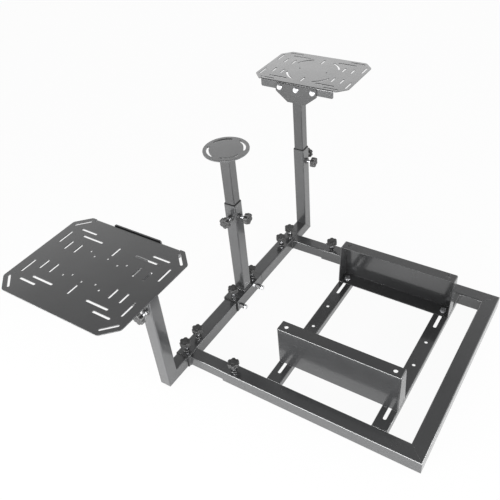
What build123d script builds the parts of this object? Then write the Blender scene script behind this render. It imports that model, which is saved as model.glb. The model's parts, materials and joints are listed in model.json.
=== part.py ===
from build123d import *
import os

os.makedirs("parts", exist_ok=True)

# Racing and flight cockpit stand: a floor frame of square tube, a front
# crossbar that slides in and out of it, two side arms that carry slotted
# control trays and a middle post with a round plate. All sizes are in mm.
# The origin lies on the floor under the middle of the front crossbar.
# +X is the driver's left, +Y points back to the seat and +Z is up.

# Square tube, three sizes that slide into one another
rail_tube = 50.0
wall = 2.5
slide_gap = 0.5
corner = 4.0
arm_tube = rail_tube - 2 * wall - 2 * slide_gap
mast_tube = arm_tube - 2 * wall - 2 * slide_gap
tube_axis_z = rail_tube / 2

# Floor frame
frame_width = 756.0
frame_back = 845.0
rail_front = 160.0
rail_clamp_inset = 36.0
rail_x = (frame_width - rail_tube) / 2
rail_clamp_y = rail_front + rail_clamp_inset

# Cross members between the rails, folded channels that are open below
member_width = 50.0
member_depth = 25.0
sheet = 3.0
front_member_y = 330.0
rear_member_y = 695.0
member_length = frame_width - 2 * rail_tube
width_slot_length = 162.0
width_slot_inset = 35.0
width_slot_width = 11.0
member_hole_x = 55.0
member_hole = 11.0
width_slot_centre = member_length / 2 - width_slot_inset - width_slot_length / 2

# Seat risers, bolted a little outside the middle of the long slots
riser_slot_offset = 5.0
riser_bolt_inset = 31.0
riser_height = 155.0
riser_foot_width = 56.0
riser_top_width = 40.0
riser_corner = 5.0
seat_hole = 14.0
riser_bolt_x = width_slot_centre + riser_slot_offset
riser_outer_x = riser_bolt_x + riser_bolt_inset
seat_hole_x = riser_outer_x - riser_top_width / 2
riser_front = front_member_y - member_width / 2
riser_back = rear_member_y + member_width / 2
riser_base_z = rail_tube

# Screws: clamp knobs, weld nuts and hexagon bolts
stud = 10.0
thread_gap = 0.2
nut_flats = 17.0
nut_height = 9.0
stud_shown = 12.0
hub_diameter = 25.0
hub_height = 5.0
hub_taper = 30.0
knob_height = 15.0
knob_diameter = 40.0
lobe_count = 6
notch_radius = 6.0
notch_pitch = 22.5
lobe_blend = 3.5
knob_edge = 2.5
cap_diameter = 17.0
cap_height = 1.2
bolt_flats = 16.0
bolt_head = 6.5
washer_diameter = 22.0
washer_height = 2.0
bolt_hole_gap = 0.5

# Front crossbar with the two stubs that slide in the rails
crossbar_overhang = 4.0
stub_reach = 330.0
inner_clamp_inset = 96.0
outer_clamp_inset = 26.0
crossbar_length = frame_width + 2 * crossbar_overhang
crossbar_clamp_x = (crossbar_length / 2 - inner_clamp_inset, crossbar_length / 2 - outer_clamp_inset)

# Side arms: a foot inside the crossbar, mitred to an upright
left_arm_out = 103.0
right_arm_out = 113.0
foot_length = 300.0
upright_top = 400.0
upright_clamp_drop = 52.0
left_reach = crossbar_length / 2 + left_arm_out
right_reach = crossbar_length / 2 + right_arm_out

# Masts, with a gusset plate that the tray's flange is bolted to
mast_length = 380.0
left_gusset_top = 620.0
right_gusset_top = 668.0
gusset_thickness = 4.0
gusset_width = 170.0
gusset_foot = 74.0
gusset_height = 70.0
gusset_side = 32.0
gusset_corner = 6.0
tray_bolt_pitch = 68.0
tray_bolt_drop = 17.0
tray_bolt_head = 22.0
tray_bolt_dome = 5.0
flange_to_mast = 2.0

# Trays. The left one sits below the top of its gusset, the right one above.
left_tray_rise = -4.0
right_tray_rise = 4.0
left_tray_width = 338.0
left_tray_length = 416.0
left_tray_chamfer = 40.0
right_tray_width = 260.0
right_tray_length = 386.0
right_tray_chamfer = 34.0
tray_corner = 12.0
flange_height = 30.0
flange_length = 298.0
flange_corner = 6.0
bend_radius = 4.0
relief = 4.0
tray_slot = 7.0
edge_slot_length = 52.0
edge_slot_x = 69.0
edge_slot_y = 178.0
short_slot_length = 36.0
short_slot_x = 45.0
short_slot_y = (106.0, 142.0)
middle_slot_x = 82.0
outer_slot_length = 58.0
outer_slot_x = 115.0
outer_slot_y = 131.0
inner_slot_length = 74.0
inner_slot_x = 94.0
inner_slot_y = 97.0
corner_slot_length = 50.0
corner_slot_x = 137.0
corner_slot_y = 177.0
small_hole = 6.5
inner_holes = ((53.0, 64.0), (41.0, 41.0))
side_hole_x = 50.0
arc_slot_radius = 97.0
arc_slot_sweep = 36.0
arc_tray_hole_y = 56.0

# Middle post on a saddle over the crossbar
saddle_wall = 4.0
saddle_length = 166.0
saddle_floor_gap = 8.0
saddle_clamp_x = 62.0
saddle_bolt_x = 59.0
saddle_bolt_z = 15.0
saddle_bolt_shown = 5.0
post_top = 441.0
post_mast_length = 340.0
plate_top = 650.0
plate_diameter = 152.0
plate_thickness = 5.0
plate_slot_radius = 60.0
plate_slot_width = 8.0
plate_slot_sweep = 58.0
plate_slot_turn = 45.0
plate_edge = 1.0

saddle_inner = rail_tube + 2 * slide_gap
saddle_outer = saddle_inner + 2 * saddle_wall
saddle_top = rail_tube + slide_gap + saddle_wall
knob_seat = nut_height + stud_shown


def save(builder, name):
    builder.part.label = name
    export_step(builder.part, f"parts/{name}.step")


# Rounded square tube section, drawn in the sketch that is open
def tube_section(size):
    RectangleRounded(size, size, corner)
    RectangleRounded(size - 2 * wall, size - 2 * wall, corner - wall, mode=Mode.SUBTRACT)


# Plane across a tube, with its normal along the tube
def across_x(x, y, z, side=1):
    return Plane(origin=(x, y, z), x_dir=(0, 1, 0), z_dir=(side, 0, 0))


def across_y(x, y, z):
    return Plane(origin=(x, y, z), x_dir=(1, 0, 0), z_dir=(0, 1, 0))


# Hexagonal weld nut. The plane lies on the tube's wall and its normal
# points away from the tube.
def weld_nut(seat):
    with BuildSketch(seat) as hexagon:
        RegularPolygon(nut_flats / 2, 6, major_radius=False)
        Circle(stud / 2 + thread_gap, mode=Mode.SUBTRACT)
    extrude(hexagon.sketch, amount=nut_height)


# Bore for a clamp stud through the wall below its weld nut
def stud_bore(seat, through):
    with BuildSketch(seat) as bore:
        Circle(stud / 2 + thread_gap)
    extrude(bore.sketch, amount=-(through + slide_gap / 2), mode=Mode.SUBTRACT)


# Star knob: a threaded stud, a hub and a six-lobed grip with a cap
def star_knob(name, seat, through):
    with BuildPart() as knob:
        with BuildSketch(seat.offset(-through)):
            Circle(stud / 2)
        extrude(amount=through + knob_seat)
        with BuildSketch(seat.offset(knob_seat + hub_height)):
            Circle(hub_diameter / 2)
        extrude(amount=-hub_height, taper=hub_taper)
        with BuildSketch(seat.offset(knob_seat + hub_height)):
            Circle(knob_diameter / 2)
            with PolarLocations(notch_pitch, lobe_count):
                Circle(notch_radius, mode=Mode.SUBTRACT)
            fillet(vertices(), lobe_blend)
        extrude(amount=knob_height)
        grip_top = faces().filter_by(seat).sort_by(Axis(seat.origin, seat.z_dir))[-1]
        fillet(grip_top.edges(), knob_edge)
        with BuildSketch(seat.offset(knob_seat + hub_height + knob_height)):
            Circle(cap_diameter / 2)
        extrude(amount=cap_height)
    save(knob, name)


# Hexagon bolt with its shank going down from the seat plane
def hexagon_bolt(seat, shank):
    with BuildSketch(seat) as hexagon:
        RegularPolygon(bolt_flats / 2, 6, major_radius=False)
    extrude(hexagon.sketch, amount=bolt_head)
    with BuildSketch(seat) as round_shank:
        Circle(stud / 2)
    extrude(round_shank.sketch, amount=-shank)


# Rear tube of the floor frame, mitred at both corners
with BuildPart() as rear_tube:
    with BuildSketch(across_x(-frame_width / 2, frame_back - rail_tube / 2, tube_axis_z)):
        tube_section(rail_tube)
    extrude(amount=frame_width)
    for side in (-1, 1):
        mitre = Plane(origin=(side * frame_width / 2, frame_back, 0), z_dir=(side, -1, 0))
        split(bisect_by=mitre, keep=Keep.BOTTOM)
save(rear_tube, "rear_tube")

# Side rails, open in front, with the bore of the frame's clamp knob
for name, side in (("left_rail", 1), ("right_rail", -1)):
    with BuildPart() as rail:
        with BuildSketch(across_y(side * rail_x, rail_front, tube_axis_z)):
            tube_section(rail_tube)
        extrude(amount=frame_back - rail_front)
        mitre = Plane(origin=(side * frame_width / 2, frame_back, 0), z_dir=(side, -1, 0))
        split(bisect_by=mitre, keep=Keep.TOP)
        clamp = Plane(origin=(side * rail_x, rail_clamp_y, rail_tube))
        stud_bore(clamp, wall)
    save(rail, name)
    star_knob(name + "_knob", clamp, wall)

with BuildPart() as rail_nuts:
    for side in (-1, 1):
        weld_nut(Plane(origin=(side * rail_x, rail_clamp_y, rail_tube)))
save(rail_nuts, "rail_nuts")

# Cross members: channels between the rails, with a long slot at each end
# that sets how far apart the seat risers stand
for name, member_y in (("front_member", front_member_y), ("rear_member", rear_member_y)):
    with BuildPart() as member:
        with BuildSketch(across_x(-member_length / 2, member_y, rail_tube - member_depth / 2)):
            RectangleRounded(member_width, member_depth, sheet)
            with Locations((0, -sheet)):
                Rectangle(member_width - 2 * sheet, member_depth, mode=Mode.SUBTRACT)
        extrude(amount=member_length)
        with BuildSketch(Plane.XY.offset(rail_tube)):
            with Locations((-width_slot_centre, member_y), (width_slot_centre, member_y)):
                SlotOverall(width_slot_length, width_slot_width)
            with Locations((-member_hole_x, member_y), (member_hole_x, member_y)):
                Circle(member_hole / 2)
        extrude(amount=-2 * sheet, mode=Mode.SUBTRACT)
    save(member, name)

# Seat risers: folded channels, open to the middle, with closed ends
riser_length = riser_back - riser_front
for name, side in (("left_riser", 1), ("right_riser", -1)):
    riser_top = riser_base_z + riser_height
    with BuildPart() as riser:
        with BuildSketch(Plane(origin=(0, riser_front, 0), x_dir=(1, 0, 0), z_dir=(0, -1, 0))):
            with BuildLine():
                Polyline(
                    (side * riser_outer_x, riser_base_z),
                    (side * riser_outer_x, riser_top),
                    (side * (riser_outer_x - riser_top_width), riser_top),
                    (side * (riser_outer_x - riser_foot_width), riser_base_z),
                    close=True,
                )
            make_face()
        extrude(amount=-riser_length)
        fold_edges = edges().filter_by(Axis.Y).sort_by(Axis.X)
        fillet(fold_edges[-2:] if side > 0 else fold_edges[:2], sheet)
        end_edges = edges().filter_by(Axis.X).sort_by(Axis.Z)[-2:]
        fillet(end_edges, riser_corner)
        pocket_x = side * (riser_outer_x - sheet - riser_foot_width / 2)
        with BuildSketch(Plane.XY.offset(riser_base_z + sheet)):
            with Locations((pocket_x, (riser_front + riser_back) / 2)):
                Rectangle(riser_foot_width, riser_length - 2 * sheet)
        extrude(amount=riser_height - 2 * sheet, mode=Mode.SUBTRACT)
        with BuildSketch(Plane.XY.offset(riser_base_z)):
            for member_y in (front_member_y, rear_member_y):
                with Locations((side * riser_bolt_x, member_y)):
                    Circle((stud + bolt_hole_gap) / 2)
        extrude(amount=sheet, mode=Mode.SUBTRACT)
        with BuildSketch(Plane.XY.offset(riser_top)):
            for member_y in (front_member_y, rear_member_y):
                with Locations((side * seat_hole_x, member_y)):
                    Circle(seat_hole / 2)
        extrude(amount=-sheet, mode=Mode.SUBTRACT)
    save(riser, name)

# The four bolts and washers that hold the risers in the slots
with BuildPart() as riser_bolts:
    for side in (-1, 1):
        for member_y in (front_member_y, rear_member_y):
            flange = Plane(origin=(side * riser_bolt_x, member_y, riser_base_z + sheet))
            with BuildSketch(flange):
                Circle(washer_diameter / 2)
            extrude(amount=washer_height)
            hexagon_bolt(flange.offset(washer_height), washer_height + 2 * sheet + nut_height)
            with BuildSketch(Plane(origin=(side * riser_bolt_x, member_y, rail_tube - sheet))):
                RegularPolygon(bolt_flats / 2, 6, major_radius=False)
            extrude(amount=-nut_height)
save(riser_bolts, "riser_bolts")

# Front crossbar, with four clamp bores in its top, two near each end
with BuildPart() as crossbar:
    with BuildSketch(across_x(-crossbar_length / 2, 0, tube_axis_z)):
        tube_section(rail_tube)
    extrude(amount=crossbar_length)
    for side in (-1, 1):
        for clamp_x in crossbar_clamp_x:
            stud_bore(Plane(origin=(side * clamp_x, 0, rail_tube)), wall)
save(crossbar, "crossbar")

with BuildPart() as crossbar_nuts:
    for side in (-1, 1):
        for clamp_x in crossbar_clamp_x:
            weld_nut(Plane(origin=(side * clamp_x, 0, rail_tube)))
save(crossbar_nuts, "crossbar_nuts")
for side_name, side in (("left", 1), ("right", -1)):
    for place, clamp_x in zip(("inner", "outer"), crossbar_clamp_x):
        clamp = Plane(origin=(side * clamp_x, 0, rail_tube))
        star_knob(f"{side_name}_{place}_crossbar_knob", clamp, wall)

# Stubs welded to the crossbar's rear face, which slide in the side rails
for name, side in (("left_stub", 1), ("right_stub", -1)):
    with BuildPart() as stub_tube:
        with BuildSketch(across_y(side * rail_x, rail_tube / 2, tube_axis_z)):
            tube_section(arm_tube)
        extrude(amount=stub_reach)
    save(stub_tube, name)

# Side arms. The right one is the left one turned half round, so its second
# knob faces back where the left one's faces forward.
left_tray_size = (left_tray_width, left_tray_length, left_tray_chamfer)
right_tray_size = (right_tray_width, right_tray_length, right_tray_chamfer)
for hand, side, reach, gusset_top, tray_rise, tray_size in (
    ("left", 1, left_reach, left_gusset_top, left_tray_rise, left_tray_size),
    ("right", -1, right_reach, right_gusset_top, right_tray_rise, right_tray_size),
):
    tray_width, tray_length, tray_chamfer = tray_size
    mitre = Plane(origin=(side * reach, 0, tube_axis_z - arm_tube / 2), z_dir=(side, 0, 1))
    with BuildPart() as foot:
        with BuildSketch(across_x(side * (reach - foot_length), 0, tube_axis_z, side)):
            tube_section(arm_tube)
        extrude(amount=foot_length)
        split(bisect_by=mitre, keep=Keep.BOTTOM)
    save(foot, f"{hand}_arm_foot")

    upright_x = side * (reach - arm_tube / 2)
    clamp_z = upright_top - upright_clamp_drop
    outer_clamp = across_x(side * reach, 0, clamp_z, side)
    cross_clamp = Plane(
        origin=(upright_x, -side * arm_tube / 2, clamp_z), x_dir=(1, 0, 0), z_dir=(0, -side, 0)
    )
    with BuildPart() as upright:
        with BuildSketch(Plane(origin=(upright_x, 0, tube_axis_z - arm_tube / 2))):
            tube_section(arm_tube)
        extrude(amount=upright_top - tube_axis_z + arm_tube / 2)
        split(bisect_by=mitre, keep=Keep.TOP)
        for clamp in (outer_clamp, cross_clamp):
            weld_nut(clamp)
            stud_bore(clamp, wall)
    save(upright, f"{hand}_arm_upright")
    star_knob(f"{hand}_arm_outer_knob", outer_clamp, wall)
    star_knob(f"{hand}_arm_cross_knob", cross_clamp, wall)

    # Mast tube that slides in the upright
    tray_top = gusset_top + tray_rise
    mast_top = tray_top - flange_height - flange_to_mast
    with BuildPart() as mast:
        with BuildSketch(Plane(origin=(upright_x, 0, mast_top - mast_length))):
            tube_section(mast_tube)
        extrude(amount=mast_length)
    save(mast, f"{hand}_mast")

    # Gusset plate on the mast's inner face, with three bolt holes
    inner_x = upright_x - side * mast_tube / 2
    gusset_plane = Plane(origin=(inner_x, 0, gusset_top), x_dir=(0, 1, 0), z_dir=(side, 0, 0))
    up = 1 if side > 0 else -1
    with BuildPart() as gusset:
        with BuildSketch(gusset_plane):
            with BuildLine():
                Polyline(
                    (-gusset_width / 2, 0),
                    (gusset_width / 2, 0),
                    (gusset_width / 2, -up * gusset_side),
                    (gusset_foot / 2, -up * gusset_height),
                    (-gusset_foot / 2, -up * gusset_height),
                    (-gusset_width / 2, -up * gusset_side),
                    close=True,
                )
            make_face()
            fillet(vertices(), gusset_corner)
            with Locations((0, -up * tray_bolt_drop)):
                with GridLocations(tray_bolt_pitch, 1, 3, 1):
                    Circle((stud + bolt_hole_gap) / 2, mode=Mode.SUBTRACT)
        extrude(amount=-gusset_thickness)
    save(gusset, f"{hand}_gusset")

    # Tray: sheet with a flange folded down along its inner edge
    tray_x = inner_x + side * tray_width / 2
    with BuildPart() as tray:
        with BuildSketch(Plane(origin=(tray_x, 0, tray_top - sheet))):
            Rectangle(tray_width, tray_length)
            chamfer(vertices(), tray_chamfer)
            fillet(vertices(), tray_corner)
            for sx in (-1, 1):
                for sy in (-1, 1):
                    with Locations((sx * edge_slot_x, sy * edge_slot_y)):
                        SlotOverall(edge_slot_length, tray_slot, mode=Mode.SUBTRACT)
                    for slot_y in short_slot_y:
                        with Locations((sx * short_slot_x, sy * slot_y)):
                            SlotOverall(short_slot_length, tray_slot, mode=Mode.SUBTRACT)
                    with Locations((sx * outer_slot_x, sy * outer_slot_y)):
                        SlotOverall(outer_slot_length, tray_slot, rotation=90, mode=Mode.SUBTRACT)
                    with Locations((sx * inner_slot_x, sy * inner_slot_y)):
                        SlotOverall(inner_slot_length, tray_slot, rotation=90, mode=Mode.SUBTRACT)
                with Locations((sx * middle_slot_x, 0)):
                    SlotOverall(short_slot_length, tray_slot, mode=Mode.SUBTRACT)
            if hand == "left":
                for sx in (-1, 1):
                    for sy in (-1, 1):
                        slant = -45 * sx * sy
                        with Locations((sx * corner_slot_x, sy * corner_slot_y)):
                            SlotOverall(corner_slot_length, tray_slot, rotation=slant, mode=Mode.SUBTRACT)
                        for hole_x, hole_y in inner_holes:
                            with Locations((sx * hole_x, sy * hole_y)):
                                Circle(small_hole / 2, mode=Mode.SUBTRACT)
                    with Locations((sx * side_hole_x, 0)):
                        Circle(small_hole / 2, mode=Mode.SUBTRACT)
            else:
                for quarter in range(4):
                    start = 45 + 90 * quarter - arc_slot_sweep / 2
                    with BuildLine(mode=Mode.PRIVATE) as arc_line:
                        CenterArc((0, 0), arc_slot_radius, start, arc_slot_sweep)
                    SlotArc(arc_line.edge(), tray_slot, mode=Mode.SUBTRACT)
                with Locations((0, -arc_tray_hole_y), (0, arc_tray_hole_y)):
                    Circle(small_hole / 2, mode=Mode.SUBTRACT)
        extrude(amount=sheet)
        with BuildSketch(Plane(origin=(inner_x, 0, tray_top))):
            with GridLocations(1, flange_length + relief, 1, 2):
                SlotOverall(2 * (relief + bend_radius), relief)
        extrude(amount=-sheet, mode=Mode.SUBTRACT)
        with BuildSketch(across_x(inner_x, 0, tray_top - flange_height / 2, side)):
            Rectangle(flange_length, flange_height)
        extrude(amount=sheet)
        lower_ends = edges().filter_by(Axis.X).sort_by(Axis.Z)[:2]
        fillet(lower_ends, flange_corner)
        fold = edges().filter_by(Axis.Y).filter_by(lambda e: e.length > flange_length - relief)
        outer_fold = fold.sort_by(Axis.Z)[-2:].sort_by(lambda e: abs(e.center().X - inner_x))[0]
        fillet(outer_fold, bend_radius)
        with BuildSketch(gusset_plane):
            with Locations((0, -up * tray_bolt_drop)):
                with GridLocations(tray_bolt_pitch, 1, 3, 1):
                    Circle((stud + bolt_hole_gap) / 2)
        extrude(amount=sheet, mode=Mode.SUBTRACT)
    save(tray, f"{hand}_tray")

    # Three domed bolts through gusset and flange, with nuts outside
    with BuildPart() as tray_bolts:
        for step in (-1, 0, 1):
            bolt_y = step * tray_bolt_pitch
            head_x = inner_x - side * gusset_thickness
            head = across_x(head_x, bolt_y, gusset_top - tray_bolt_drop, -side)
            with BuildSketch(head):
                Circle(tray_bolt_head / 2)
            extrude(amount=tray_bolt_dome)
            with BuildSketch(head):
                Circle(stud / 2)
            extrude(amount=-(gusset_thickness + sheet + nut_height + sheet))
            with BuildSketch(head.offset(-gusset_thickness - sheet)):
                RegularPolygon(bolt_flats / 2, 6, major_radius=False)
            extrude(amount=-nut_height)
        dome_faces = faces().filter_by(Axis.X).sort_by(Axis.X)
        dome_faces = dome_faces[:3] if side > 0 else dome_faces[-3:]
        chamfer(dome_faces.edges(), tray_bolt_dome / 2)
    save(tray_bolts, f"{hand}_tray_bolts")

# Saddle over the crossbar, an upturned channel that carries the middle post
with BuildPart() as saddle:
    saddle_depth = saddle_top - saddle_floor_gap
    with BuildSketch(across_x(-saddle_length / 2, 0, saddle_top - saddle_depth / 2)):
        Rectangle(saddle_outer, saddle_depth)
        with Locations((0, -saddle_wall)):
            Rectangle(saddle_inner, saddle_depth, mode=Mode.SUBTRACT)
    extrude(amount=saddle_length)
    for side in (-1, 1):
        top_clamp = Plane(origin=(side * saddle_clamp_x, 0, saddle_top))
        rear_bolt = across_y(side * saddle_bolt_x, saddle_outer / 2, saddle_bolt_z)
        for seat in (top_clamp, rear_bolt):
            weld_nut(seat)
            stud_bore(seat, saddle_wall)
save(saddle, "post_saddle")
for side_name, side in (("left", 1), ("right", -1)):
    star_knob(f"{side_name}_saddle_knob", Plane(origin=(side * saddle_clamp_x, 0, saddle_top)), saddle_wall)

# Two hexagon bolts that press the saddle against the crossbar from behind
with BuildPart() as saddle_bolts:
    for side in (-1, 1):
        head_y = saddle_outer / 2 + nut_height + saddle_bolt_shown
        hexagon_bolt(across_y(side * saddle_bolt_x, head_y, saddle_bolt_z), head_y - saddle_inner / 2)
save(saddle_bolts, "saddle_bolts")

# Middle post, welded on the saddle, with a clamp on two faces
post_clamp_z = post_top - upright_clamp_drop
side_clamp = across_x(arm_tube / 2, 0, post_clamp_z)
rear_clamp = across_y(0, arm_tube / 2, post_clamp_z)
with BuildPart() as post:
    with BuildSketch(Plane.XY.offset(saddle_top)):
        tube_section(arm_tube)
    extrude(amount=post_top - saddle_top)
    for clamp in (side_clamp, rear_clamp):
        weld_nut(clamp)
        stud_bore(clamp, wall)
save(post, "middle_post")
star_knob("post_side_knob", side_clamp, wall)
star_knob("post_rear_knob", rear_clamp, wall)

# Middle mast and its round plate with four curved slots
with BuildPart() as post_mast:
    with BuildSketch(Plane.XY.offset(plate_top - plate_thickness - post_mast_length)):
        tube_section(mast_tube)
    extrude(amount=post_mast_length)
save(post_mast, "middle_mast")

with BuildPart() as round_plate:
    with BuildSketch(Plane.XY.offset(plate_top - plate_thickness)):
        Circle(plate_diameter / 2)
        for quarter in range(4):
            start = plate_slot_turn + 90 * quarter - plate_slot_sweep / 2
            with BuildLine(mode=Mode.PRIVATE) as plate_arc:
                CenterArc((0, 0), plate_slot_radius, start, plate_slot_sweep)
            SlotArc(plate_arc.edge(), plate_slot_width, mode=Mode.SUBTRACT)
    extrude(amount=plate_thickness)
    rim = faces().sort_by(Axis.Z)[-1].outer_wire().edges()
    chamfer(rim, plate_edge)
save(round_plate, "round_plate")
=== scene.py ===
import json
import math

import bpy
from mathutils import Matrix, Vector

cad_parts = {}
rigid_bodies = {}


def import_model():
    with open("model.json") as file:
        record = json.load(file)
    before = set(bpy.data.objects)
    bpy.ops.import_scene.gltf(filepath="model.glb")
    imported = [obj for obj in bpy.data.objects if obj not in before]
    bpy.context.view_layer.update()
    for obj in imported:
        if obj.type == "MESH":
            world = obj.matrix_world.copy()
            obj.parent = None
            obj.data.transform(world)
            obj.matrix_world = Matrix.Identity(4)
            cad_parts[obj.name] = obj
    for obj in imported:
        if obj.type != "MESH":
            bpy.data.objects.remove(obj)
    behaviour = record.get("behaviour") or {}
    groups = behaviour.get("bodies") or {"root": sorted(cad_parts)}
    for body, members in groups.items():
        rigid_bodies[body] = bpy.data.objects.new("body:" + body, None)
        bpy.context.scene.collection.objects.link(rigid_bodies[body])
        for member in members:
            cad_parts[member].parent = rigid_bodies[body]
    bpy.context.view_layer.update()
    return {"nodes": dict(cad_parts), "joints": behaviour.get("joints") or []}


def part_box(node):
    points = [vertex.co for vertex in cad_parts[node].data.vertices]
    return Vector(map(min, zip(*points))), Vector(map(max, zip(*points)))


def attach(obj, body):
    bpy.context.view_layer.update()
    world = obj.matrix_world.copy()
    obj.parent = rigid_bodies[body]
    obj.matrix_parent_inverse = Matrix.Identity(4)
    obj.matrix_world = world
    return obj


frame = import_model()

# Floor frame: a rear tube and two side rails of square steel tube, mitred and
# welded into a U that is open in front. After welding it is powder coated in
# satin graphite, which rubs lighter along the edges.
nodes = frame["nodes"]
mm = 0.001
coat_colour = (0.064, 0.065, 0.067)
coat_tones = (0.90, 1.10)
coat_worn_colour = (0.20, 0.20, 0.21, 1.0)
coat_metal_flake = 0.50
clear_coat_roughness = 0.12
clear_coat_ior = 1.8
coat_roughness = (0.27, 0.37)
coat_edge_radius = 1.3 * mm
coat_cloud = (7.0, 5.0)
coat_smear = (16.0, 4.0)
coat_scuffs = (55.0, 6.0)
coat_peel = (420.0, 2.0)
peel_strength = 0.10
peel_height = 0.12 * mm
edge_turn_cosine = (0.995, 0.88)
scuff_band = (0.46, 0.66)
scuff_share = 0.6
tone_band = (0.30, 0.72)
gloss_band = (0.3, 0.7)
seed_steps = (1.7, 0.9, 2.3)
edge_samples = 4


def noise(tree, where, scale_and_detail):
    texture = tree.nodes.new("ShaderNodeTexNoise")
    for socket, value in zip(("Scale", "Detail"), scale_and_detail):
        texture.inputs[socket].default_value = value
    tree.links.new(where, texture.inputs["Vector"])
    return texture.outputs["Fac"]


def spread(tree, value, band, reach):
    stretch = tree.nodes.new("ShaderNodeMapRange")
    for socket, end in zip(("From Min", "From Max"), band):
        stretch.inputs[socket].default_value = end
    for socket, end in zip(("To Min", "To Max"), reach):
        stretch.inputs[socket].default_value = end
    tree.links.new(value, stretch.inputs["Value"])
    return stretch.outputs["Result"]


def two_tone(tree, value, dark, light):
    ramp = tree.nodes.new("ShaderNodeValToRGB")
    ends = ramp.color_ramp.elements
    for end, place, colour in zip(ends, tone_band, (dark, light)):
        end.position = place
        end.color = (*colour, 1.0)
    tree.links.new(value, ramp.inputs["Fac"])
    return ramp.outputs["Color"]


def combined(tree, operation, *values):
    node = tree.nodes.new("ShaderNodeMath")
    node.operation = operation
    for socket, value in zip(node.inputs, values):
        if isinstance(value, float):
            socket.default_value = value
        else:
            tree.links.new(value, socket)
    return node.outputs["Value"]


def rounded_normal(tree, radius):
    rounded = tree.nodes.new("ShaderNodeBevel")
    rounded.samples = edge_samples
    rounded.inputs["Radius"].default_value = radius
    return rounded.outputs["Normal"]


def relief(tree, height, strength, depth, rounded):
    bump = tree.nodes.new("ShaderNodeBump")
    bump.inputs["Strength"].default_value = strength
    bump.inputs["Distance"].default_value = depth
    tree.links.new(height, bump.inputs["Height"])
    tree.links.new(rounded, bump.inputs["Normal"])
    return bump.outputs["Normal"]


def blank_material(name, seed):
    material = bpy.data.materials.new(name)
    material.use_nodes = True
    tree = material.node_tree
    place = tree.nodes.new("ShaderNodeTexCoord")
    shift = tree.nodes.new("ShaderNodeMapping")
    shift.inputs["Location"].default_value = [seed * step for step in seed_steps]
    tree.links.new(place.outputs["Object"], shift.inputs["Vector"])
    return material, tree, tree.nodes["Principled BSDF"], shift.outputs["Vector"]


def wire_up(tree, shader, colour, roughness, normal):
    tree.links.new(colour, shader.inputs["Base Color"])
    tree.links.new(roughness, shader.inputs["Roughness"])
    tree.links.new(normal, shader.inputs["Normal"])


def powder_coat(name, seed, shade=1.0):
    material, tree, shader, where = blank_material(name, seed)
    shader.inputs["Metallic"].default_value = coat_metal_flake
    shader.inputs["Coat Weight"].default_value = 1.0
    shader.inputs["Coat Roughness"].default_value = clear_coat_roughness
    shader.inputs["Coat IOR"].default_value = clear_coat_ior
    dark = [channel * shade * coat_tones[0] for channel in coat_colour]
    light = [channel * shade * coat_tones[1] for channel in coat_colour]
    tint = two_tone(tree, noise(tree, where, coat_cloud), dark, light)

    rounded = rounded_normal(tree, coat_edge_radius)
    surface = tree.nodes.new("ShaderNodeNewGeometry")
    turn = tree.nodes.new("ShaderNodeVectorMath")
    turn.operation = "DOT_PRODUCT"
    tree.links.new(rounded, turn.inputs[0])
    tree.links.new(surface.outputs["Normal"], turn.inputs[1])
    edge = spread(tree, turn.outputs["Value"], edge_turn_cosine, (0.0, 1.0))
    scuffs = noise(tree, where, coat_scuffs)
    broken = spread(tree, scuffs, scuff_band, (0.0, scuff_share))
    colour = tree.nodes.new("ShaderNodeMix")
    colour.data_type = "RGBA"
    wear = combined(tree, "MULTIPLY", edge, broken)
    tree.links.new(wear, colour.inputs["Factor"])
    tree.links.new(tint, colour.inputs["A"])
    colour.inputs["B"].default_value = coat_worn_colour

    smear = noise(tree, where, coat_smear)
    gloss = spread(tree, smear, gloss_band, coat_roughness)
    peel = noise(tree, where, coat_peel)
    normal = relief(tree, peel, peel_strength, peel_height, rounded)
    wire_up(tree, shader, colour.outputs["Result"], gloss, normal)
    return material


def dress(node_name, material):
    mesh = nodes[node_name].data
    mesh.materials.clear()
    mesh.materials.append(material)


frame_coat = powder_coat("graphite_coat_frame", 1.0)
for name in ("rear_tube", "left_rail", "right_rail"):
    dress(name, frame_coat)

# Corner welds of the floor frame: a rope of overlapping ripples over the top
# and inner side of each mitre, ground flush outside and coated with the frame.
weld_coat = powder_coat("graphite_coat_weld", 5.0, shade=0.85)
bead_width = 4.6 * mm
bead_sides = 8
ripple_pitch = 2.4 * mm
steps_per_ripple = 3
fewest_steps = 6
ripple_low, ripple_rise = 0.84, 0.16
taper_start, taper_rise = 0.35, 0.25
flush_bead_width = 3.2 * mm
flush_bead_depth = 1.1 * mm
seam_end = 5 * mm
tube_corner = 4 * mm
corner_points = 4


def add_piece(name, verts, faces, material, body, smooth=True):
    mesh = bpy.data.meshes.new(name)
    mesh.from_pydata(verts, [], faces)
    if smooth:
        mesh.shade_smooth()
    mesh.materials.append(material)
    piece = bpy.data.objects.new(name, mesh)
    bpy.context.scene.collection.objects.link(piece)
    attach(piece, body)
    return piece


def along_seam(seam, closed):
    points = [Vector(p) for p in seam]
    if closed:
        points.append(points[0])
    lengths = [(b - a).length for a, b in zip(points, points[1:])]
    run = sum(lengths)
    count = max(fewest_steps, int(run / (ripple_pitch / steps_per_ripple)))
    path = []
    leg = 0
    passed = 0.0
    for step in range(count if closed else count + 1):
        at = run * step / count
        while leg < len(lengths) - 1 and passed + lengths[leg] < at:
            passed += lengths[leg]
            leg += 1
        share = min(1.0, (at - passed) / lengths[leg])
        path.append(points[leg].lerp(points[leg + 1], share))
    return path, run


def rope_faces(rings, sides, closed):
    faces = []
    for i in range(rings if closed else rings - 1):
        near, far = i * sides, (i + 1) % rings * sides
        for j in range(sides):
            k = (j + 1) % sides
            faces.append((near + j, near + k, far + k, far + j))
    return faces


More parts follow.
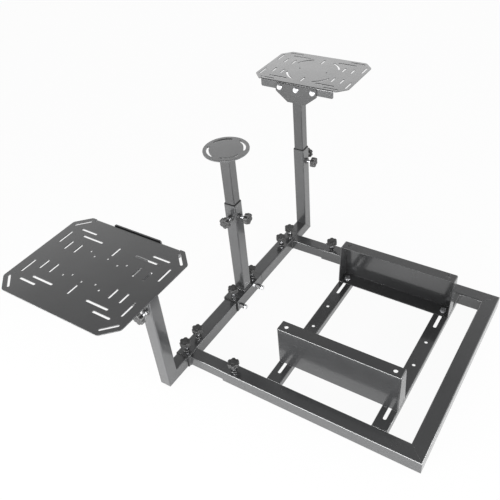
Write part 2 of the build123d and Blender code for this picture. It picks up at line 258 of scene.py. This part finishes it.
def weld_bead(name, seam, body, closed=True, width=bead_width, coat=weld_coat):
    path, run = along_seam(seam, closed)
    total = len(path)
    verts = []
    for i, point in enumerate(path):
        ahead = path[(i + 1) % total] if closed or i + 1 < total else point
        behind = path[i - 1] if closed or i > 0 else point
        along = (ahead - behind).normalized()
        side = along.orthogonal().normalized()
        across = along.cross(side)
        ripple = abs(math.sin(math.pi * run * i / total / ripple_pitch))
        swell = ripple_low + ripple_rise * ripple
        if not closed:
            from_end = min(i, total - 1 - i)
            swell *= min(1.0, taper_start + taper_rise * from_end)
        reach = width / 2 * swell
        for j in range(bead_sides):
            angle = 2 * math.pi * j / bead_sides
            outward = side * math.cos(angle) + across * math.sin(angle)
            verts.append(point + outward * reach)
    faces = rope_faces(total, bead_sides, closed)
    if not closed:
        last = (total - 1) * bead_sides
        faces.append(tuple(range(bead_sides))[::-1])
        faces.append(tuple(last + j for j in range(bead_sides)))
    return add_piece(name, verts, faces, coat, body)


def tube_outline(half, corner=tube_corner):
    outline = []
    for sx, sy, start in ((1, 1, 0), (-1, 1, 90), (-1, -1, 180), (1, -1, 270)):
        for step in range(corner_points):
            angle = math.radians(start + 90 * step / (corner_points - 1))
            outline.append((
                sx * (half - corner) + corner * math.cos(angle),
                sy * (half - corner) + corner * math.sin(angle),
            ))
    return outline


low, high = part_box("rear_tube")
rail_half = (high.z - low.z) / 2
corner_y = high.y - rail_half
centre_z = low.z + rail_half
seat = rail_half - flush_bead_depth
flat = rail_half - seam_end
round_corner = tube_outline(seat)[corner_points:2 * corner_points]
mitre = [(flat, seat), *round_corner, (-seat, -flat)]
for side_name, side in (("left", 1), ("right", -1)):
    corner_x = side * (high.x - rail_half)
    seam = [(corner_x + side * a, corner_y + a, centre_z + b) for a, b in mitre]
    weld_bead(
        f"{side_name}_rear_corner_weld", seam, "floor_frame",
        closed=False, width=flush_bead_width,
    )

# Cross members: two folded channels welded between the rails. Long slots near
# their ends set how far apart the seat risers stand.
member_coat = powder_coat("graphite_coat_members", 2.0)
plate_bead_width = 4 * mm
top_bead_width = 3.4 * mm
top_bead_depth = 1 * mm
seam_foot = 2 * mm
fold_round = 3 * mm
for name in ("front_member", "rear_member"):
    dress(name, member_coat)
    low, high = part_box(name)
    top_z = high.z - top_bead_depth
    for side_name, x in (("left", high.x), ("right", low.x)):
        for place, y in (("front", low.y), ("rear", high.y)):
            seam = [(x, y, low.z + seam_foot), (x, y, high.z - fold_round)]
            weld_bead(
                f"{side_name}_{place}_{name}_weld", seam, "floor_frame",
                closed=False, width=plate_bead_width,
            )
        seam = [(x, low.y + fold_round, top_z), (x, high.y - fold_round, top_z)]
        weld_bead(
            f"{side_name}_{name}_top_weld", seam, "floor_frame",
            closed=False, width=top_bead_width,
        )

# Seat risers: folded steel channels with closed ends, bolted across the two
# members. The seat bolts to their top flanges.
# They take a darker copy of the frame coat: painted shade for the dimmer light on
# them.
riser_painted_shade_coat = powder_coat("graphite_coat_risers_painted_shade", 3.0, shade=0.75)
for name in ("left_riser", "right_riser"):
    dress(name, riser_painted_shade_coat)

# Riser bolts: hexagon bolts with washers and nuts that hold the risers in the
# slots of the members. They are plated in bright zinc.
zinc_dark, zinc_light = (0.78, 0.79, 0.82), (0.95, 0.95, 0.96)
zinc_spangle = (160.0, 4.0)
zinc_edge_radius = 0.8 * mm
spangle_strength = 0.12
spangle_height = 0.1 * mm


def zinc_plate(name, seed, shine):
    material, tree, shader, where = blank_material(name, seed)
    shader.inputs["Metallic"].default_value = 1.0
    spangle = noise(tree, where, zinc_spangle)
    tint = two_tone(tree, spangle, zinc_dark, zinc_light)
    gloss = spread(tree, spangle, gloss_band, shine)
    rounded = rounded_normal(tree, zinc_edge_radius)
    normal = relief(tree, spangle, spangle_strength, spangle_height, rounded)
    wire_up(tree, shader, tint, gloss, normal)
    return material


bolt_zinc = zinc_plate("bright_zinc_bolts", 0.0, (0.14, 0.30))
dress("riser_bolts", bolt_zinc)

# Front beam: a crossbar of the frame's tube, with two smaller stubs welded to
# its rear face that slide in the rails.
beam_coat = powder_coat("graphite_coat_beam", 4.0)
for name in ("crossbar", "left_stub", "right_stub"):
    dress(name, beam_coat)
fillet_out = 0.6 * mm
fillet_up = 0.4 * mm
for name in ("left_stub", "right_stub"):
    low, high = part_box(name)
    centre_x = (low.x + high.x) / 2
    centre_z = (low.z + high.z) / 2
    around = tube_outline((high.x - low.x) / 2 + fillet_out)
    seam = [(centre_x + a, low.y + fillet_up, centre_z + b) for a, b in around]
    weld_bead(f"{name}_weld", seam, "front_beam")

# Weld nuts: plain hexagon nuts on the rails and the crossbar, each with a weld bead
# round its foot. Nuts and beads take a near-black copy of the frame coat: painted
# shade for the shadow each knob casts round its nut.
nut_painted_shade_coat = powder_coat("graphite_coat_nuts_painted_shade", 11.0, shade=0.28)
nut_across_flats = 17 * mm
nut_across_corners = nut_across_flats / math.cos(math.pi / 6)
nut_height = 9 * mm
nut_bead_width = 3.6 * mm
nut_seam_points = 12


def nut_weld(name, centre, u, v, body):
    reach = nut_across_corners / 2 + fillet_out
    seam = []
    for step in range(nut_seam_points):
        angle = 2 * math.pi * step / nut_seam_points
        along_u, along_v = u * math.cos(angle) * reach, v * math.sin(angle) * reach
        seam.append(centre + along_u + along_v)
    return weld_bead(name, seam, body, width=nut_bead_width, coat=nut_painted_shade_coat)


for name in ("rail_nuts", "crossbar_nuts"):
    dress(name, nut_painted_shade_coat)

# Plastic bushes: black mouldings pushed into the open tube ends, so that the
# sliding tubes run quietly. Only their thin lips show.
bush_lip = 2.6 * mm
bush_gap = 0.35 * mm
bush_shy = 0.2 * mm
bush_corner = 2.5 * mm
bush_edge = 0.5 * mm
plastic_cloud = (90.0, 4.0)
plastic_grain = (1400.0, 2.0)
plastic_edge_radius = 1.6 * mm
grain_strength = 0.2
grain_height = 0.1 * mm
east, north, sky = Vector((1, 0, 0)), Vector((0, 1, 0)), Vector((0, 0, 1))


def moulded_black(name, seed, dark, light, shine):
    material, tree, shader, where = blank_material(name, seed)
    cloud = noise(tree, where, plastic_cloud)
    tint = two_tone(tree, cloud, (dark,) * 3, (light,) * 3)
    gloss = spread(tree, cloud, gloss_band, shine)
    grain = noise(tree, where, plastic_grain)
    rounded = rounded_normal(tree, plastic_edge_radius)
    normal = relief(tree, grain, grain_strength, grain_height, rounded)
    wire_up(tree, shader, tint, gloss, normal)
    return material


bush_black = moulded_black("bush_black", 12.0, 0.012, 0.022, (0.38, 0.52))


def bush_ring(name, centre, u, v, outer, inner, body):
    outward = u.cross(v)
    outlines = [tube_outline(outer), tube_outline(inner, bush_corner)]
    verts = []
    for height in (0.0, bush_lip):
        for outline in outlines:
            verts += [centre + u * a + v * b + outward * height for a, b in outline]
    count = len(outlines[0])
    faces = []
    for i in range(count):
        j = (i + 1) % count
        faces.append((i, j, 2 * count + j, 2 * count + i))
        faces.append((count + j, count + i, 3 * count + i, 3 * count + j))
        faces.append((2 * count + i, 2 * count + j, 3 * count + j, 3 * count + i))
        faces.append((j, i, count + i, count + j))
    piece = add_piece(name, verts, faces, bush_black, body, smooth=False)
    soften = piece.modifiers.new("soft_edges", "BEVEL")
    soften.width = bush_edge
    soften.segments = 2
    soften.limit_method = "ANGLE"
    return piece


low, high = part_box("crossbar")
beam_half = (high.y - low.y) / 2
beam_centre_z = (low.z + high.z) / 2
foot_low, foot_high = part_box("left_arm_foot")
foot_half = (foot_high.y - foot_low.y) / 2
for side_name, x, u in (("left", high.x, north), ("right", low.x, -north)):
    bush_ring(
        f"{side_name}_crossbar_bush", Vector((x, 0, beam_centre_z)), u, sky,
        beam_half - bush_shy, foot_half + bush_gap, "front_beam",
    )

# Side arms: each is a foot that slides inside the crossbar, mitred and welded
# to an upright. The upright's top takes the tray mast.
arm_coat = powder_coat("graphite_coat_arms", 6.0)
mast_low, mast_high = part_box("middle_mast")
mast_half = (mast_high.x - mast_low.x) / 2
for side_name, side in (("left", 1), ("right", -1)):
    body = f"{side_name}_arm"
    for part_name in ("foot", "upright"):
        dress(f"{side_name}_arm_{part_name}", arm_coat)
    low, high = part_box(f"{side_name}_arm_foot")
    half = (high.z - low.z) / 2
    centre_z = low.z + half
    upright_x = (high.x if side > 0 else low.x) - side * half
    around = tube_outline(half - flush_bead_depth)
    seam = [(upright_x + a, b, centre_z - side * a) for a, b in around]
    weld_bead(f"{side_name}_arm_corner_weld", seam, body, width=flush_bead_width)
    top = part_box(f"{side_name}_arm_upright")[1].z
    bush_ring(
        f"{side_name}_upright_bush", Vector((upright_x, 0, top)), east, north,
        half - bush_shy, mast_half + bush_gap, body,
    )

# Tray masts, gussets and trays: a smaller tube slides in each upright and
# carries a welded gusset plate. The tray is one sheet with a flange folded
# down, and three domed bolts hold it to the gusset.
# The masts and gussets take a darker copy of the frame coat: painted shade for the
# dimmer light that falls on them.
mast_painted_shade_coat = powder_coat("graphite_coat_masts_painted_shade", 7.0, shade=0.60)
tray_coat = powder_coat("graphite_coat_trays", 8.0)
gusset_seam_end = 2 * mm
foot_seam_end = 3 * mm
foot_seam_half = mast_half - foot_seam_end
for side_name, side in (("left", 1), ("right", -1)):
    body = f"{side_name}_tray_mast"
    dress(f"{side_name}_mast", mast_painted_shade_coat)
    dress(f"{side_name}_gusset", mast_painted_shade_coat)
    dress(f"{side_name}_tray", tray_coat)
    dress(f"{side_name}_tray_bolts", bolt_zinc)
    low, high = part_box(f"{side_name}_gusset")
    face_x = high.x if side > 0 else low.x
    seam_low = low.z + gusset_seam_end
    seam_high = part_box(f"{side_name}_mast")[1].z - gusset_seam_end
    for place, y in (("front", -mast_half), ("rear", mast_half)):
        weld_bead(
            f"{side_name}_{place}_gusset_weld",
            [(face_x, y, seam_low), (face_x, y, seam_high)], body,
            closed=False, width=plate_bead_width,
        )
    weld_bead(
        f"{side_name}_foot_gusset_weld",
        [(face_x, -foot_seam_half, low.z), (face_x, foot_seam_half, low.z)], body,
        closed=False, width=plate_bead_width,
    )

# Middle post: a saddle over the crossbar carries a welded post of the arms'
# tube, and two set bolts in its rear wall press it against the crossbar.
post_coat = powder_coat("graphite_coat_post", 9.0)
for name in ("post_saddle", "middle_post"):
    dress(name, post_coat)
dress("saddle_bolts", bolt_zinc)
low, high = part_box("middle_post")
around = tube_outline(foot_half + fillet_out)
seam = [(a, b, low.z + fillet_up) for a, b in around]
weld_bead("post_foot_weld", seam, "post_carriage")
bush_ring(
    "middle_post_bush", Vector((0, 0, high.z)), east, north,
    foot_half - bush_shy, mast_half + bush_gap, "post_carriage",
)

# Saddle liners: black plastic lips along both open ends of the saddle, which
# keep its steel off the crossbar's coat.
saddle_length = 166 * mm
saddle_wall = 4 * mm
saddle_gap = 0.5 * mm
foot_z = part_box("post_saddle")[0].z
inner_half = beam_half + saddle_gap
outer_half = inner_half + saddle_wall
inner_roof = beam_half * 2 + saddle_gap
outer_roof = inner_roof + saddle_wall
outline = [
    (-outer_half, foot_z), (-outer_half, outer_roof),
    (outer_half, outer_roof), (outer_half, foot_z),
    (inner_half, foot_z), (inner_half, inner_roof),
    (-inner_half, inner_roof), (-inner_half, foot_z),
]
count = len(outline)
faces = []
for i in range(count):
    j = (i + 1) % count
    faces.append((i, j, count + j, count + i))
for a in (0, count):
    faces.append((a, a + 1, a + 6, a + 7))
    faces.append((a + 1, a + 2, a + 5, a + 6))
    faces.append((a + 2, a + 3, a + 4, a + 5))
for side_name, side in (("left", 1), ("right", -1)):
    near_x = side * saddle_length / 2
    far_x = near_x + side * bush_lip
    verts = [(x, y, z) for x in (near_x, far_x) for y, z in outline]
    add_piece(
        f"{side_name}_saddle_liner", verts, faces, bush_black,
        "post_carriage", smooth=False,
    )

# Middle mast and round plate: the mast slides in the post and ends in a round
# steel plate with four curved slots.
plate_coat = powder_coat("graphite_coat_plate", 10.0, shade=1.15)
# The middle mast wears the same darker coat, also painted shade.
dress("middle_mast", mast_painted_shade_coat)
dress("round_plate", plate_coat)
plate_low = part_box("round_plate")[0].z
around = tube_outline(mast_half + fillet_out)
seam = [(a, b, plate_low - fillet_up) for a, b in around]
weld_bead("round_plate_weld", seam, "plate_mast", width=plate_bead_width)

# Clamp knobs: moulded black star knobs with six lobes. Each sits on a zinc
# threaded stud that screws through a weld nut and presses on the tube inside.
knob_black = moulded_black("moulded_black_knobs", 13.0, 0.030, 0.048, (0.34, 0.46))
stud_zinc = zinc_plate("bright_zinc_studs", 14.0, (0.18, 0.34))
stud_shown = 12 * mm
stud_from_top = 33.2 * mm
thread_core = 5.0 * mm
thread_depth = 0.45 * mm
thread_pitch = 1.5 * mm
thread_sides = 20
rings_per_pitch = 4


def threaded_stud(name, start, axis, body):
    u = axis.orthogonal().normalized()
    v = axis.cross(u)
    rings = int(stud_shown / thread_pitch * rings_per_pitch) + 1
    verts = []
    for i in range(rings):
        along = stud_shown * i / (rings - 1)
        for j in range(thread_sides):
            angle = 2 * math.pi * j / thread_sides
            phase = (along / thread_pitch - j / thread_sides) % 1.0
            reach = thread_core + thread_depth * (1 - abs(2 * phase - 1))
            outward = u * math.cos(angle) + v * math.sin(angle)
            verts.append(start + axis * along + outward * reach)
    faces = rope_faces(rings, thread_sides, closed=False)
    return add_piece(name, verts, faces, stud_zinc, body)


knob_axes = {"post_side_knob": east, "post_rear_knob": north}
for side_name, side in (("left", 1), ("right", -1)):
    for place in ("rail", "inner_crossbar", "outer_crossbar", "saddle"):
        knob_axes[f"{side_name}_{place}_knob"] = sky
    knob_axes[f"{side_name}_arm_outer_knob"] = east * side
    knob_axes[f"{side_name}_arm_cross_knob"] = -north * side
carrier = {joint["child"]: joint["parent"] for joint in frame["joints"]}
for name, axis in knob_axes.items():
    dress(name, knob_black)
    low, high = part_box(name)
    top = (low + high) / 2 + axis * abs((high - low).dot(axis)) / 2
    start = top - axis * stud_from_top
    threaded_stud(f"{name}_stud", start, axis, f"{name}_body")
    foot = start - axis * (nut_height - fillet_up)
    u = axis.orthogonal().normalized()
    nut_weld(f"{name}_nut_weld", foot, u, axis.cross(u), carrier[f"{name}_body"])

# Studio floor: a wide matt sheet just under the tubes. The eye sees it almost
# pure white and the coat mirrors it dimmer, but it still takes the shadow.
floor_half = 14.0
floor_drop = -0.5 * mm
floor_grey = (0.82, 0.82, 0.82, 1)
white_share = 0.95
mirrored_share = 0.60


def straight_sight(tree, ray):
    seen = (ray.outputs["Is Camera Ray"], ray.outputs["Is Transmission Ray"])
    return combined(tree, "MAXIMUM", *seen)


def blended(tree, share, first, second):
    blend = tree.nodes.new("ShaderNodeMixShader")
    tree.links.new(share, blend.inputs["Fac"])
    tree.links.new(first, blend.inputs[1])
    tree.links.new(second, blend.inputs[2])
    return blend.outputs["Shader"]


floor_mesh = bpy.data.meshes.new("studio_floor")
floor_signs = ((-1, -1), (1, -1), (1, 1), (-1, 1))
floor_corners = [(a * floor_half, b * floor_half, floor_drop) for a, b in floor_signs]
floor_mesh.from_pydata(floor_corners, [], [(0, 1, 2, 3)])
floor = bpy.data.objects.new("studio_floor", floor_mesh)
bpy.context.scene.collection.objects.link(floor)
floor_paint = bpy.data.materials.new("studio_white")
floor_paint.use_nodes = True
tree = floor_paint.node_tree
tree.nodes.clear()
ray = tree.nodes.new("ShaderNodeLightPath")
matte = tree.nodes.new("ShaderNodeBsdfDiffuse")
matte.inputs["Color"].default_value = floor_grey
glow = tree.nodes.new("ShaderNodeEmission")
glow.inputs["Strength"].default_value = 1.0
seen = combined(tree, "MULTIPLY", straight_sight(tree, ray), white_share)
mirrored = combined(tree, "MULTIPLY", ray.outputs["Is Glossy Ray"], mirrored_share)
share = combined(tree, "MAXIMUM", seen, mirrored)
paint = blended(tree, share, matte.outputs["BSDF"], glow.outputs["Emission"])
out = tree.nodes.new("ShaderNodeOutputMaterial")
tree.links.new(paint, out.inputs["Surface"])
floor_mesh.materials.append(floor_paint)

# Studio air: white to the eye. What lights the stand and shows in its coat is
# a grey horizon, a bright band a little above it and a dark ceiling.
air_strength = 1.45
wall_steps = (
    (0.0, 0.50), (0.26, 0.62), (0.38, 0.95), (0.52, 0.60),
    (0.66, 0.32), (0.80, 0.16), (1.0, 0.12),
)
world = bpy.data.worlds.new("studio_air")
bpy.context.scene.world = world
world.use_nodes = True
tree = world.node_tree
compass = tree.nodes.new("ShaderNodeTexCoord")
split = tree.nodes.new("ShaderNodeSeparateXYZ")
tree.links.new(compass.outputs["Generated"], split.inputs["Vector"])
wall = tree.nodes.new("ShaderNodeValToRGB")
wall.color_ramp.interpolation = "EASE"
for place, _ in wall_steps[1:-1]:
    wall.color_ramp.elements.new(place)
for element, (place, grey) in zip(wall.color_ramp.elements, wall_steps):
    element.position = place
    element.color = (grey, grey, grey, 1)
tree.links.new(split.outputs["Z"], wall.inputs["Fac"])
air = tree.nodes["Background"]
tree.links.new(wall.outputs["Color"], air.inputs["Color"])
air.inputs["Strength"].default_value = air_strength
white = tree.nodes.new("ShaderNodeBackground")
white.inputs["Color"].default_value = (1, 1, 1, 1)
ray = tree.nodes.new("ShaderNodeLightPath")
sight = straight_sight(tree, ray)
air_seen = blended(tree, sight, air.outputs["Background"], white.outputs["Background"])
tree.links.new(air_seen, tree.nodes["World Output"].inputs["Surface"])

# Soft panels: a wide low one behind the stand, one at the driver's left and a
# faint one opposite, all turned to the middle of the frame.
aim = Vector((0.0, 0.3, 0.2))


def soft_panel(name, place, size, watts):
    light = bpy.data.lights.new(name, "AREA")
    light.shape = "RECTANGLE"
    light.size, light.size_y = size
    light.energy = watts
    lamp = bpy.data.objects.new(name, light)
    lamp.location = place
    lamp.rotation_euler = (aim - Vector(place)).to_track_quat("-Z", "Y").to_euler()
    bpy.context.scene.collection.objects.link(lamp)
    return lamp


soft_panel("panel_rear", (0.2, 3.2, 0.5), (3.4, 0.9), 126)
soft_panel("panel_left", (2.0, 0.1, 0.34), (2.8, 0.64), 82)
soft_panel("panel_far", (-3.4, -2.2, 1.6), (3.0, 1.6), 4)

# Camera: the photograph's own, solved from the frame's edges. It looks at the
# stand from behind and the driver's left, downwards and with a slight roll.
camera_place = Vector((1.3626, 1.065, 1.6363))
camera_azimuth = math.radians(126.66)
camera_elevation = math.radians(39.24)
camera_roll = math.radians(-6.27)
lens_px = 616.9
photo_px = 500
sensor = 36.0
far_clip = 60.0
back = Vector((
    math.sin(camera_azimuth) * math.cos(camera_elevation),
    -math.cos(camera_azimuth) * math.cos(camera_elevation),
    math.sin(camera_elevation),
))
level = Vector((math.cos(camera_azimuth), math.sin(camera_azimuth), 0))
up = back.cross(level)
right = level * math.cos(camera_roll) + up * math.sin(camera_roll)
upright = up * math.cos(camera_roll) - level * math.sin(camera_roll)
turn = Matrix((right, upright, back)).transposed().to_4x4()
lens = bpy.data.cameras.new("photo_camera")
lens.sensor_width = sensor
lens.lens = sensor * lens_px / photo_px
lens.clip_end = far_clip
camera = bpy.data.objects.new("photo_camera", lens)
camera.matrix_world = Matrix.Translation(camera_place) @ turn
bpy.context.scene.collection.objects.link(camera)
bpy.context.scene.camera = camera
bpy.context.scene.view_settings.view_transform = "Standard"
